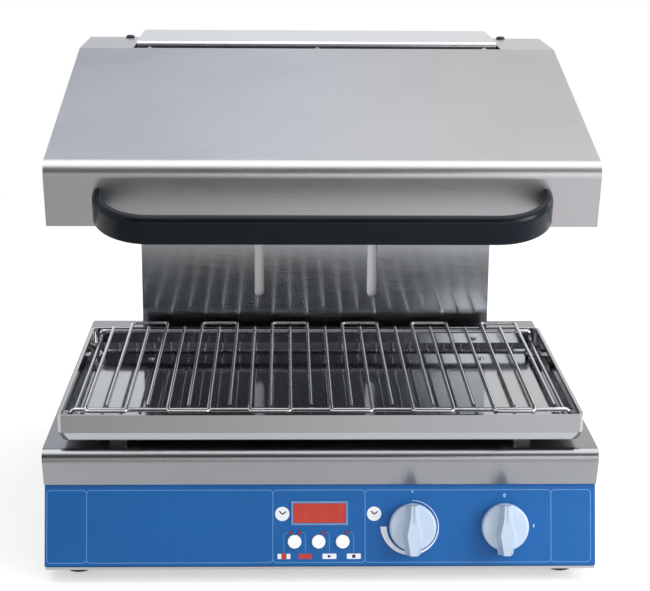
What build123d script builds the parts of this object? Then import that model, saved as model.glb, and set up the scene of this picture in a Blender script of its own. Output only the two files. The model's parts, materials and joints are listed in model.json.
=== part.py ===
from build123d import *
import os
from math import atan2, cos, radians, sin, tan

# Salamander grill with a lifting hood. Millimetres, +Z up, the front faces -Y.
# The origin is on the floor, under the middle of the whole object.

os.makedirs("parts", exist_ok=True)

# Overall sizes and clearances
base_width = 600
body_depth = 515
handle_reach = 59
sheet = 1.5
fit = 0.2
slide_gap = 0.3
turn_gap = 0.05

# Base
foot_height = 16.5
foot_radius = 13
foot_inset = 33
foot_setback = 35
floor_thickness = 3
floor_lip = 1
panel_height = 86.8
panel_reach = 8
panel_tilt = 16
panel_overlap = 10
panel_side_gap = 0.5
band_height = 41.7
band_lean = 13
band_radius = 10.5
rear_inset = 22
vent_length = 60
vent_width = 6
vent_pitch = 14
vent_count = 5
vent_x = 120

# Column
column_width = 443
column_depth = 127
column_height = 395
slot_spacing = 144
slot_width = 12
slot_margin = 12
cover_width = 24
cover_thickness = 1
cover_gap = 4
cover_overlap = 10
cover_tab = 14
cover_slit_gap = 1
plate_return = 12
cap_skirt = 6
cap_bend = 5.5
cap_lip = 12
cable_cut = 80
guide_spacing = 280
guide_radius = 8
guide_block = 36
guide_block_height = 25
bracket_thickness = 5
bracket_flange = 20
bracket_margin = 20

# Hood
hood_lift = 244.6
hood_width = 575
hood_depth = 471
fascia_height = 67.4
fascia_lean = 14.8
slope_rise = 78
slope_run = 348.5
nose_radius = 14.5
notch_gap = 2
notch_strip = 3
hood_travel = 170
frame_recess = 2

# Heater in the hood
heater_side_margin = 42.5
heater_front_margin = 40
heater_back_margin = 14
reflector_depth = 30
reflector_slant = 30
reflector_flange = 8
insulation_thickness = 22
insulation_margin = 5
element_radius = 4.25
element_spacing = 43.8
element_height = 13.5
element_end_gap = 20
element_tail = 17
element_hole_gap = 0.15
support_spacing = 300
support_edge = 5.5
terminal_radius = 6
terminal_length = 14

# Handle
handle_width = 475
handle_tilt = 15
handle_thick = 9
handle_tall = 30
handle_edge = 1.5
handle_round = 7.4
handle_bend = 58
handle_root = 39.5

# Lifting gear
arm_rise = 7
arm_height = 40
arm_thickness = 8
flange_width = 50
flange_height = 58
flange_thickness = 6
carriage_y = 42.5
carriage_width = 410
carriage_height = 130
carriage_thickness = 8
bush_radius = 14
bush_length = 40
shelf_depth = 36
shelf_width = 30
shelf_thickness = 4
shelf_drop = 8
spring_spacing = 370
spring_radius = 11
spring_wall = 2
spring_spare = 30
spring_end = 5
rod_radius = 4
piston_height = 10
piston_margin = 3
nut_height = 6
nut_radius = 7

# Drip tray and grid
tray_width = 566
tray_depth = 340
tray_height = 29
tray_setback = 10
tray_gap = 9.5
tray_bevel = 9
tray_taper = 3.5
tray_corner = 8
rim_width = 3.5
rim_height = 5
runner_spacing = 446
runner_width = 20
runner_setback = 50
stop_gap = 2
stop_depth = 10
stop_inset = 6
guide_flange = 12
guide_lip = 7
guide_length = 300
rivet_radius = 4
rivet_inset = 25
tab_length = 14
tab_thickness = 3
tab_spacing = 220
wire_count = 24
wire_pitch = 22.1
wire_radius = 2
grid_frame_radius = 2.5
grid_front_gap = 25
grid_rear_gap = 10.5
grid_side_gap = 12
front_loop = 10
front_loop_drop = 3
rear_loop = 10
loop_bend = 4
step_bend = 4
grid_drop = 12
grid_bend = 5.2

# Controls
knob_spacing = 100.7
power_inset = 99.7
knob_height = 42.3
knob_radius = 25.5
knob_disc = 11
knob_edge = 3
knob_blade = 13
knob_blade_spread = 5
knob_gap = 0.8
knob_bore = 9
knob_fit = 0.02
pointer_width = 1.6
pointer_depth = 1
pointer_length = 19
shaft_radius = 3
shaft_depth = 20
shaft_hole_gap = 0.4
switch_width = 40
switch_depth = 30
display_x = -1.5
display_height = 57.2
display_wide = 57
display_tall = 21.2
bezel_margin = 2.4
bezel_proud = 1.2
lens_proud = 0.4
lens_depth = 2.4
button_x = -2.6
button_spacing = 26.2
button_height = 26.3
button_radius = 7.4
button_proud = 2
button_edge = 0.8
button_flange = 0.7
button_travel = 1.2
stem_radius = 2.5
led_radius = 1.9
led_proud = 0.8
led_shift_x = 5.5
led_shift_z = 9.6
led_extra_x = -33.1
board_width = 100
board_height = 76
board_gap = 12
board_thickness = 1.6
board_bottom = 12
spacer_radius = 3
spacer_inset = 5
tact_size = 6
tact_height = 4

# Mains inlet and screws
gland_inset = 100
gland_height = 44.5
gland_radius = 11
gland_bore = 5
gland_proud = 18
gland_inner = 8
terminal_block_length = 60
terminal_block_depth = 25
terminal_block_height = 22
terminal_block_gap = 30
screw_radius = 2
screw_head_radius = 4.5
screw_head = 2.2
screw_length = 8
screw_hole_gap = 0.1
screw_inset = 15
cap_screw_radius = 3
cap_screw_round = 1.6
cap_screw_drop = 8.3
top_screw_radius = 5.5
top_screw_head = 3.5
top_screw_round = 2.6
top_screw_socket = 1.8
top_screw_setback = 9
handle_screw_radius = 2.5
handle_screw_head = 4.5
handle_screw_depth = 10
arm_bolt_radius = 4
arm_bolt_head = 6.5
arm_bolt_head_height = 5
arm_bolt_spacing = 34
arm_bolt_end = 3

# Places worked out from the sizes
half_base = base_width / 2
front_y = -(body_depth - handle_reach) / 2
back_y = front_y + body_depth
panel_y = front_y - panel_reach
panel_back = panel_y + sheet
panel_z = foot_height + floor_thickness
panel_lean = radians(panel_tilt)
panel_end = panel_z + (panel_height - slide_gap - sheet * sin(panel_lean)) / cos(panel_lean)
band_z = panel_z + panel_height
deck_z = band_z + band_height
under_deck = deck_z - sheet - fit
inner_base = half_base - sheet - fit
rear_y = back_y - rear_inset

half_column = column_width / 2
column_back = back_y - screw_head - slide_gap
column_y = column_back - column_depth
column_top = deck_z + column_height
cap_z = column_top - sheet
guide_x = guide_spacing / 2

hood_z = deck_z + hood_lift
fold_z = hood_z + fascia_height
hood_top = fold_z + slope_rise
slope_y = front_y + slope_run
slope_angle = atan2(slope_rise, slope_run)
fascia_angle = atan2(fascia_lean, fascia_height)
hood_back = front_y + hood_depth
half_hood = hood_width / 2
notch_half = half_column + notch_gap
notch_y = slope_y + notch_strip
liner_y = notch_y - sheet
shoulder = half_hood - notch_half
top_screw_x = notch_half + shoulder / 5
frame_z = hood_z + frame_recess
reflector_z = frame_z + sheet

heater_half = half_hood - heater_side_margin
heater_front = front_y + heater_front_margin
heater_back = liner_y - heater_back_margin
heater_mid = (heater_front + heater_back) / 2
reflector_top = reflector_z + reflector_depth
element_z = reflector_z + element_height
element_legs = [heater_mid + (i - 2.5) * element_spacing for i in range(6)]
element_end = heater_half + element_tail

arm_x = slot_spacing / 2
arm_z = hood_z + arm_rise
arm_top = arm_z + arm_height
slot_z = arm_z - hood_travel - slot_margin
cover_front = column_y + sheet + cover_gap
cover_back = cover_front + cover_thickness
cover_z = slot_z - cover_overlap
carriage_front = column_y + carriage_y
carriage_back = carriage_front + carriage_thickness
carriage_top = arm_z + carriage_height
guide_y = carriage_back + guide_block / 2
bush_levels = (arm_z, carriage_top - bush_length)
spring_x = spring_spacing / 2
spring_bore = spring_radius - spring_wall
spring_top = deck_z + hood_travel + spring_spare
shelf_z = carriage_top - shelf_drop
bracket_z = cap_z - bracket_thickness - fit

tray_front = front_y + tray_setback
tray_back = tray_front + tray_depth
tray_mid = (tray_front + tray_back) / 2
tray_z = deck_z + tray_gap
tray_top = tray_z + tray_height
tray_floor = tray_z + sheet
guide_front = tray_mid - guide_length / 2
guide_back = tray_mid + guide_length / 2
runner_x = runner_spacing / 2
guide_edge = runner_x - runner_width / 2 - slide_gap
flange_x = guide_edge - sheet - guide_flange / 2
wire_z = tray_top + slide_gap + wire_radius
grid_frame_z = wire_z - wire_radius - grid_frame_radius
grid_side_z = grid_frame_z - grid_drop
grid_front = tray_front + grid_front_gap
grid_rear = tray_back - grid_rear_gap
grid_side = tray_width / 2 - grid_side_gap

power_x = half_base - power_inset
timer_x = power_x - knob_spacing
knob_z = panel_z + knob_height
display_z = panel_z + display_height
button_z = panel_z + button_height
button_places = [button_x + step * button_spacing for step in (-1, 0, 1)]
led_places = [led_extra_x] + [x + led_shift_x for x in button_places]
led_z = button_z + led_shift_z
board_front = panel_back + board_gap
board_z = panel_z + board_bottom
gland_x = gland_inset - half_base
gland_z = panel_z + gland_height
screw_hole = screw_radius + screw_hole_gap


def slab(low, high, mode=Mode.ADD):
    """A box between two opposite corners, in the piece being built."""
    centre = [(a + b) / 2 for a, b in zip(low, high)]
    with Locations(tuple(centre)):
        Box(*[b - a for a, b in zip(low, high)], mode=mode)


def rod_x(radius, x0, x1, y, z, mode=Mode.ADD):
    """A round bar along X."""
    with Locations(((x0 + x1) / 2, y, z)):
        Cylinder(radius, x1 - x0, rotation=(0, 90, 0), mode=mode)


def rod_y(radius, x, y0, y1, z, mode=Mode.ADD):
    """A round bar along Y."""
    with Locations((x, (y0 + y1) / 2, z)):
        Cylinder(radius, y1 - y0, rotation=(90, 0, 0), mode=mode)


def rod_z(radius, x, y, z0, z1, mode=Mode.ADD):
    """A round bar along Z."""
    with Locations((x, y, (z0 + z1) / 2)):
        Cylinder(radius, z1 - z0, mode=mode)


def mirrored(x):
    """The two places either side of the middle plane."""
    return (-x, x)


pieces = {}


def keep(name, piece):
    """Label a finished piece and hold it for writing."""
    piece.part.label = name
    pieces[name] = piece.part


# The control panel and all that sits on it are drawn upright, then leaned back about the panel's foot
panel_foot = Axis((0, panel_back, panel_z), (1, 0, 0))


def keep_leaned(name, piece):
    """Lean a finished piece back with the panel, label it and hold it for writing."""
    leaned = piece.part.rotate(panel_foot, -panel_tilt)
    leaned.label = name
    pieces[name] = leaned


# Base: floor with upright sides, deck lid with a rounded front band, rear panel and feet
with BuildPart() as base_body:
    slab((-inner_base, panel_y - floor_lip, foot_height), (inner_base, back_y, panel_z))
    wall_foot = panel_back + fit / cos(panel_lean)
    wall_top = wall_foot + (under_deck - panel_z) * tan(panel_lean)
    for x in (-inner_base, inner_base - sheet):
        with BuildSketch(Plane.YZ.offset(x)):
            with BuildLine():
                Polyline(
                    (wall_foot, panel_z),
                    (back_y, panel_z),
                    (back_y, under_deck),
                    (wall_top, under_deck),
                    close=True,
                )
            make_face()
        extrude(amount=sheet)
keep("base_body", base_body)


def deck_outline(inset):
    """Side profile of the deck: flat top, rounded nose, band leaning back to its foot."""
    foot = band_z - inset
    rear = back_y + inset
    with BuildLine() as edge:
        FilletPolyline(
            (rear, foot),
            (front_y + band_lean + inset, foot),
            (front_y + inset, deck_z - inset),
            (rear, deck_z - inset),
            radius=[0, 0, band_radius - inset, 0],
            close=True,
        )
    make_face(edge.edges())


with BuildPart() as base_deck:
    with BuildSketch(Plane.YZ):
        deck_outline(0)
    extrude(amount=half_base, both=True)
    with BuildSketch(Plane.YZ):
        deck_outline(sheet)
    extrude(amount=half_base - sheet, both=True, mode=Mode.SUBTRACT)
    slab(
        (-cable_cut / 2, guide_y - cable_cut / 4, deck_z - 2 * sheet),
        (cable_cut / 2, guide_y + cable_cut / 4, deck_z + sheet),
        Mode.SUBTRACT,
    )
    slit_half = cover_width / 2 + cover_slit_gap
    for x in mirrored(arm_x):
        slab(
            (x - slit_half, cover_front - cover_slit_gap, deck_z - 2 * sheet),
            (x + slit_half, cover_back + cover_slit_gap, deck_z + sheet),
            Mode.SUBTRACT,
        )
keep("base_deck", base_deck)

with BuildPart() as control_panel:
    panel_half = half_base - panel_side_gap
    slab((-panel_half, panel_y, panel_z), (panel_half, panel_back, panel_end))
    slab((-inner_base, panel_y, panel_end), (inner_base, panel_back, panel_end + panel_overlap))
    for x in (timer_x, power_x):
        rod_y(shaft_radius + shaft_hole_gap, x, panel_y - sheet, panel_back + sheet, knob_z, Mode.SUBTRACT)
    for x in button_places:
        rod_y(button_radius + slide_gap, x, panel_y - sheet, panel_back + sheet, button_z, Mode.SUBTRACT)
    for x in led_places:
        rod_y(led_radius + fit, x, panel_y - sheet, panel_back + sheet, led_z, Mode.SUBTRACT)
    slab(
        (display_x - display_wide / 2 - fit, panel_y - sheet, display_z - display_tall / 2 - fit),
        (display_x + display_wide / 2 + fit, panel_back + sheet, display_z + display_tall / 2 + fit),
        Mode.SUBTRACT,
    )
keep_leaned("control_panel", control_panel)

rear_half = inner_base - sheet - fit
rear_screw_places = [
    (x, z)
    for x in (-rear_half + screw_inset, 0, rear_half - screw_inset)
    for z in (panel_z + screw_inset, under_deck - screw_inset)
]
with BuildPart() as rear_panel:
    slab((-rear_half, rear_y - sheet, panel_z), (rear_half, rear_y, under_deck))
    rod_y(gland_radius, gland_x, rear_y - 2 * sheet, rear_y + sheet, gland_z, Mode.SUBTRACT)
    with BuildSketch(Plane.XZ.offset(-rear_y - sheet)):
        with Locations((vent_x, (panel_z + under_deck) / 2)):
            with GridLocations(1, vent_pitch, 1, vent_count):
                SlotOverall(vent_length, vent_width)
    extrude(amount=3 * sheet, mode=Mode.SUBTRACT)
    for x, z in rear_screw_places:
        rod_y(screw_hole, x, rear_y - 2 * sheet, rear_y + sheet, z, Mode.SUBTRACT)
keep("rear_panel", rear_panel)

with BuildPart() as rear_panel_screws:
    for x, z in rear_screw_places:
        rod_y(screw_head_radius, x, rear_y, rear_y + screw_head, z)
        rod_y(screw_radius, x, rear_y - screw_length, rear_y, z)
keep("rear_panel_screws", rear_panel_screws)

with BuildPart() as feet:
    foot_places = [
        (x, y)
        for x in mirrored(half_base - foot_inset)
        for y in (front_y + foot_setback, back_y - foot_setback)
    ]
    with BuildSketch():
        with Locations(*foot_places):
            Circle(foot_radius)
    extrude(amount=foot_height, taper=8)
keep("feet", feet)

with BuildPart() as tray_runners:
    for x in mirrored(runner_x):
        slab(
            (x - runner_width / 2, tray_front + runner_setback, deck_z),
            (x + runner_width / 2, tray_back - fit, tray_z - slide_gap),
        )
    stop_half = tray_width / 2 - tray_taper - stop_inset
    slab(
        (-stop_half, guide_back + stop_gap, deck_z),
        (stop_half, guide_back + stop_gap + stop_depth, tray_z - slide_gap),
    )
keep("tray_runners", tray_runners)

# Column: slotted front plate, rear cover and cap
cap_screw_z = cap_z - cap_screw_drop
fold_inside = cap_bend - sheet
cap_screw_places = (-half_column + screw_inset, 0, half_column - screw_inset)
with BuildPart() as column_front_plate:
    slab((-half_column, column_y, deck_z), (half_column, column_y + sheet, cap_z - fold_inside))
    for side in (-1, 1):
        faces = sorted((side * (half_column - sheet - fit), side * (half_column - 2 * sheet - fit)))
        slab((faces[0], column_y, deck_z), (faces[1], column_y + plate_return, cap_z - cap_lip - fit))
    slot_length = arm_top + slot_margin - slot_z
    with BuildSketch(Plane.XZ.offset(-column_y - 2 * sheet)):
        with Locations(*[(x, slot_z + slot_length / 2) for x in mirrored(arm_x)]):
            SlotOverall(slot_length, slot_width, rotation=90)
    extrude(amount=4 * sheet, mode=Mode.SUBTRACT)
    for x in cap_screw_places:
        rod_y(screw_hole, x, column_y - sheet, column_y + 2 * sheet, cap_screw_z, Mode.SUBTRACT)
keep("column_front_plate", column_front_plate)

cover_screw_places = [
    (x, z)
    for x in mirrored(half_column - screw_inset)
    for z in (slot_z, (slot_z + cap_z) / 2, cap_z - bracket_flange / 2)
]
with BuildPart() as column_rear_cover:
    slab((-half_column, column_back - sheet, deck_z), (half_column, column_back, cap_z))
    for side in (-1, 1):
        faces = sorted((side * half_column, side * (half_column - sheet)))
        slab((faces[0], column_y + sheet + fit, deck_z), (faces[1], column_back, cap_z))
    slab(
        (-half_column, column_y, cap_z - fold_inside),
        (half_column, column_y + fold_inside, cap_z),
        Mode.SUBTRACT,
    )
    with BuildSketch(Plane.XZ.offset(-column_back - sheet)):
        with Locations((0, (slot_z + cap_z) / 2)):
            with GridLocations(1, vent_pitch, 1, vent_count):
                SlotOverall(vent_length, vent_width)
    extrude(amount=3 * sheet, mode=Mode.SUBTRACT)
    for x, z in cover_screw_places:
        rod_y(screw_hole, x, column_back - 2 * sheet, column_back + sheet, z, Mode.SUBTRACT)
keep("column_rear_cover", column_rear_cover)

with BuildPart() as column_cap:
    with BuildSketch(Plane.YZ):
        with BuildLine():
            FilletPolyline(
                (column_back, column_top),
                (column_y - sheet, column_top),
                (column_y - sheet, column_top - cap_skirt),
                (column_y, column_top - cap_skirt),
                (column_y, cap_z),
                (column_back, cap_z),
                radius=[0, cap_bend, 0, 0, fold_inside, 0],
                close=True,
            )
        make_face()
    extrude(amount=half_column, both=True)
    lip_y = column_y + sheet + fit
    lip_half = half_column - sheet - fit
    slab((-lip_half, lip_y, cap_z - cap_lip), (lip_half, lip_y + sheet, cap_z))
    for x in cap_screw_places:
        rod_y(screw_hole, x, lip_y - sheet, lip_y + 2 * sheet, cap_screw_z, Mode.SUBTRACT)
keep("column_cap", column_cap)

with BuildPart() as column_screws:
    for x in cap_screw_places:
        rod_y(cap_screw_radius, x, column_y - screw_head, column_y, cap_screw_z)
        rod_y(screw_radius, x, column_y, column_y + screw_length, cap_screw_z)
    fillet(column_screws.edges().filter_by(GeomType.CIRCLE).group_by(Axis.Y)[0], cap_screw_round)
    for x, z in cover_screw_places:
        rod_y(screw_head_radius, x, column_back, column_back + screw_head, z)
        rod_y(screw_radius, x, column_back - screw_length, column_back, z)
keep("column_screws", column_screws)

# Guides and gas springs inside the column
with BuildPart() as guide_rods:
    for x in mirrored(guide_x):
        rod_z(guide_radius, x, guide_y, deck_z, bracket_z)
keep("guide_rods", guide_rods)

with BuildPart() as guide_blocks:
    for x in mirrored(guide_x):
        slab(
            (x - guide_block / 2, guide_y - guide_block / 2, deck_z),
            (x + guide_block / 2, guide_y + guide_block / 2, deck_z + guide_block_height),
        )
        rod_z(guide_radius + turn_gap, x, guide_y, deck_z, deck_z + guide_block_height, Mode.SUBTRACT)
keep("guide_blocks", guide_blocks)

with BuildPart() as guide_top_bracket:
    bracket_half = guide_x + bracket_margin
    cover_face = column_back - sheet
    slab(
        (-bracket_half, guide_y - guide_block / 2, bracket_z),
        (bracket_half, cover_face, bracket_z + bracket_thickness),
    )
    slab(
        (-bracket_half, cover_face - bracket_thickness, bracket_z - bracket_flange),
        (bracket_half, cover_face, bracket_z),
    )
keep("guide_top_bracket", guide_top_bracket)

with BuildPart() as gas_spring_cylinders:
    for x in mirrored(spring_x):
        rod_z(spring_radius, x, guide_y, deck_z, spring_top)
        rod_z(spring_bore, x, guide_y, deck_z + spring_end, spring_top - spring_end, Mode.SUBTRACT)
        rod_z(rod_radius + turn_gap, x, guide_y, spring_top - 2 * spring_end, spring_top, Mode.SUBTRACT)
keep("gas_spring_cylinders", gas_spring_cylinders)

with BuildPart() as gas_spring_rods:
    for x in mirrored(spring_x):
        piston_top = spring_top - spring_end - piston_margin
        rod_z(rod_radius, x, guide_y, piston_top - piston_height, shelf_z + shelf_thickness + nut_height)
        rod_z(spring_bore - turn_gap, x, guide_y, piston_top - piston_height, piston_top)
    with BuildSketch(Plane.XY.offset(shelf_z + shelf_thickness)):
        with Locations(*[(x, guide_y) for x in mirrored(spring_x)]):
            RegularPolygon(nut_radius, 6)
            Circle(rod_radius + turn_gap, mode=Mode.SUBTRACT)
    extrude(amount=nut_height)
keep("gas_spring_rods", gas_spring_rods)

# Carriage that carries the hood
with BuildPart() as carriage_plate:
    half_carriage = carriage_width / 2
    slab((-half_carriage, carriage_front, arm_z), (half_carriage, carriage_back, carriage_top))
    for x in mirrored(spring_x):
        slab(
            (x - shelf_width / 2, carriage_back, shelf_z),
            (x + shelf_width / 2, carriage_back + shelf_depth, shelf_z + shelf_thickness),
        )
        rod_z(rod_radius + turn_gap, x, guide_y, shelf_z, shelf_z + shelf_thickness, Mode.SUBTRACT)
keep("carriage_plate", carriage_plate)

with BuildPart() as bush_housings:
    for x in mirrored(guide_x):
        for z in bush_levels:
            slab(
                (x - guide_block / 2, guide_y - guide_block / 2, z),
                (x + guide_block / 2, guide_y + guide_block / 2, z + bush_length),
            )
            rod_z(bush_radius + knob_fit, x, guide_y, z, z + bush_length, Mode.SUBTRACT)
keep("bush_housings", bush_housings)

with BuildPart() as linear_bushes:
    for x in mirrored(guide_x):
        for z in bush_levels:
            rod_z(bush_radius, x, guide_y, z, z + bush_length)
            rod_z(guide_radius + turn_gap, x, guide_y, z, z + bush_length, Mode.SUBTRACT)
keep("linear_bushes", linear_bushes)

arm_bolt_levels = [arm_z + flange_height / 2 + k * arm_bolt_spacing / 2 for k in (-1, 1)]
arm_bolt_offset = (flange_width + arm_thickness) / 4
for side_name, x in zip(("left", "right"), mirrored(arm_x)):
    with BuildPart() as lift_arm:
        slab((x - arm_thickness / 2, liner_y, arm_z), (x + arm_thickness / 2, carriage_front, arm_top))
        slab(
            (x - flange_width / 2, liner_y - flange_thickness, arm_z),
            (x + flange_width / 2, liner_y, arm_z + flange_height),
        )
        for z in arm_bolt_levels:
            for offset_x in mirrored(arm_bolt_offset):
                rod_y(
                    arm_bolt_radius + screw_hole_gap, x + offset_x,
                    liner_y - flange_thickness, liner_y, z, Mode.SUBTRACT,
                )
    keep(f"{side_name}_lift_arm", lift_arm)

with BuildPart() as arm_bolts:
    bolt_face = liner_y - flange_thickness
    for x in mirrored(arm_x):
        for z in arm_bolt_levels:
            for offset_x in mirrored(arm_bolt_offset):
                rod_y(arm_bolt_head, x + offset_x, bolt_face - arm_bolt_head_height, bolt_face, z)
                rod_y(arm_bolt_radius, x + offset_x, bolt_face, notch_y + arm_bolt_end, z)
keep("arm_bolts", arm_bolts)


# Strips that hang from the arms and cover the column's slots from behind
with BuildPart() as slot_covers:
    for x in mirrored(arm_x):
        slab((x - cover_width / 2, cover_front, cover_z), (x + cover_width / 2, cover_back, arm_z))
        slab(
            (x - arm_thickness / 2, cover_back, arm_z - cover_thickness),
            (x + arm_thickness / 2, cover_back + cover_tab, arm_z),
        )
keep("slot_covers", slot_covers)


# Hood: folded shell, liner round the column and base frame
def fascia_y(z, inset=0):
    """Where the fascia, which leans back to its foot, stands at a height, drawn in by an inset."""
    return front_y + (fold_z - z) * tan(fascia_angle) + inset / cos(fascia_angle)


def hood_outline(inset):
    """Side profile of the hood: leaning fascia, rounded nose, slope and flat top."""
    foot = hood_z - inset
    nose_rise = tan(slope_angle) / cos(fascia_angle) - 1 / cos(slope_angle)
    nose_z = fold_z + inset * nose_rise / (1 + tan(fascia_angle) * tan(slope_angle))
    fold_y = slope_y
    if inset:
        fold_y += inset * (1 / cos(slope_angle) - 1) / tan(slope_angle)
    with BuildLine() as edge:
        FilletPolyline(
            (hood_back - inset, foot),
            (fascia_y(foot, inset), foot),
            (fascia_y(nose_z, inset), nose_z),
            (fold_y, hood_top - inset),
            (hood_back - inset, hood_top - inset),
            radius=[0, 0, nose_radius - inset, 0, 0],
            close=True,
        )
    make_face(edge.edges())


handle_tilt_angle = radians(handle_tilt)
handle_z = fold_z - handle_root
handle_x = (handle_width - handle_thick) / 2
handle_roots = [(x, 0) for x in mirrored(handle_x)]
fascia_plane = Plane(
    origin=(0, fascia_y(handle_z), handle_z),
    x_dir=(1, 0, 0),
    z_dir=(0, -cos(fascia_angle), -sin(fascia_angle)),
)


def fascia_rod(radius, low, high, mode=Mode.ADD):
    """Round bars square to the fascia at the handle's roots, between two distances in front of it."""
    with BuildSketch(fascia_plane.offset(low)) as section:
        with Locations(*handle_roots):
            Circle(radius)
    extrude(section.sketch, amount=high - low, mode=mode)


top_screw_y = hood_back - top_screw_setback
with BuildPart() as hood_shell:
    with BuildSketch(Plane.YZ):
        hood_outline(0)
    extrude(amount=half_hood, both=True)
    with BuildSketch(Plane.YZ):
        hood_outline(sheet)
    extrude(amount=half_hood - sheet, both=True, mode=Mode.SUBTRACT)
    slab(
        (-notch_half, notch_y, hood_z - sheet),
        (notch_half, hood_back + sheet, hood_top + sheet),
        Mode.SUBTRACT,
    )
    fascia_rod(handle_screw_radius + screw_hole_gap, -2 * sheet, sheet, Mode.SUBTRACT)
    for x in mirrored(top_screw_x):
        rod_z(screw_hole, x, top_screw_y, hood_top - 2 * sheet, hood_top + sheet, Mode.SUBTRACT)
keep("hood_shell", hood_shell)

with BuildPart() as hood_top_screws:
    for x in mirrored(top_screw_x):
        rod_z(top_screw_radius, x, top_screw_y, hood_top, hood_top + top_screw_head)
        rod_z(screw_radius, x, top_screw_y, hood_top - screw_length, hood_top)
    fillet(hood_top_screws.edges().filter_by(GeomType.CIRCLE).group_by(Axis.Z)[-1], top_screw_round)
    for x in mirrored(top_screw_x):
        rod_z(
            top_screw_socket, x, top_screw_y,
            hood_top + top_screw_head / 2, hood_top + top_screw_head, Mode.SUBTRACT,
        )
keep("hood_top_screws", hood_top_screws)

with BuildPart() as hood_liner:
    outer_half = notch_half + sheet
    slab((-outer_half, liner_y, hood_z), (outer_half, notch_y, hood_top - sheet))
    for side in (-1, 1):
        faces = sorted((side * notch_half, side * outer_half))
        slab((faces[0], notch_y, hood_z), (faces[1], hood_back - sheet - fit, hood_top - sheet))
    for x in mirrored(arm_x):
        slab(
            (x - arm_thickness / 2 - fit, liner_y - sheet, arm_z - fit),
            (x + arm_thickness / 2 + fit, notch_y + sheet, arm_top + fit),
            Mode.SUBTRACT,
        )
        for z in arm_bolt_levels:
            for offset_x in mirrored(arm_bolt_offset):
                rod_y(
                    arm_bolt_radius + screw_hole_gap, x + offset_x,
                    liner_y - sheet, notch_y + sheet, z, Mode.SUBTRACT,
                )
keep("hood_liner", hood_liner)

with BuildPart() as hood_base_frame:
    frame_half = half_hood - sheet - fit
    slab(
        (-frame_half, fascia_y(frame_z, sheet) + fit, frame_z),
        (frame_half, hood_back - sheet - fit, reflector_z),
    )
    notch_cut = notch_half + sheet + fit
    slab((-notch_cut, liner_y - fit, frame_z), (notch_cut, hood_back, reflector_z), Mode.SUBTRACT)
    slab((-heater_half, heater_front, frame_z), (heater_half, heater_back, reflector_z), Mode.SUBTRACT)
keep("hood_base_frame", hood_base_frame)


# Heater: reflector trough, insulation, three hairpin elements and their supports
def trough_outline(grow):
    """Side profile of the reflector trough, open towards the grid."""
    with BuildLine() as edge:
        Polyline(
            (heater_front - grow, reflector_z),
            (heater_front + reflector_slant - grow, reflector_top + grow),
            (heater_back - reflector_slant + grow, reflector_top + grow),
            (heater_back + grow, reflector_z),
            close=True,
        )
    make_face(edge.edges())


with BuildPart() as reflector:
    with BuildSketch(Plane.YZ):
        trough_outline(sheet)
    extrude(amount=heater_half + sheet, both=True)
    slab(
        (-heater_half - reflector_flange, heater_front - reflector_flange, reflector_z),
        (heater_half + reflector_flange, heater_back + reflector_flange, reflector_z + sheet),
    )
    with BuildSketch(Plane.YZ):
        trough_outline(0)
    extrude(amount=heater_half, both=True, mode=Mode.SUBTRACT)
    for y in element_legs:
        rod_x(
            element_radius + fit, heater_half - sheet, heater_half + 2 * sheet,
            y, element_z, Mode.SUBTRACT,
        )
keep("reflector", reflector)

with BuildPart() as insulation:
    slab_half = heater_half - insulation_margin
    slab(
        (-slab_half, heater_front + reflector_slant, reflector_top + sheet),
        (slab_half, heater_back - reflector_slant, reflector_top + sheet + insulation_thickness),
    )
keep("insulation", insulation)

for name, near, far in zip(("front", "middle", "rear"), element_legs[0::2], element_legs[1::2]):
    with BuildPart() as heating_element:
        turn_x = -heater_half + element_end_gap
        bend = element_spacing / 2
        with BuildLine() as element_path:
            Line((element_end, near, element_z), (turn_x + bend, near, element_z))
            ThreePointArc(
                (turn_x + bend, near, element_z),
                (turn_x, (near + far) / 2, element_z),
                (turn_x + bend, far, element_z),
            )
            Line((turn_x + bend, far, element_z), (element_end, far, element_z))
        with BuildSketch(Plane(origin=(element_end, near, element_z), z_dir=(-1, 0, 0))):
            Circle(element_radius)
        sweep(path=element_path.wires()[0])
    keep(f"{name}_element", heating_element)

with BuildPart() as element_supports:
    support_front = heater_front + reflector_slant + fit
    support_back = heater_back - reflector_slant - fit
    for x in mirrored(support_spacing / 2):
        slab(
            (x - sheet / 2, support_front, reflector_z + support_edge),
            (x + sheet / 2, support_back, reflector_top),
        )
        for y in element_legs:
            rod_x(element_radius + element_hole_gap, x - sheet, x + sheet, y, element_z, Mode.SUBTRACT)
keep("element_supports", element_supports)

with BuildPart() as element_terminals:
    for y in element_legs:
        rod_x(terminal_radius, element_end, element_end + terminal_length, y, element_z)
keep("element_terminals", element_terminals)

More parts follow.
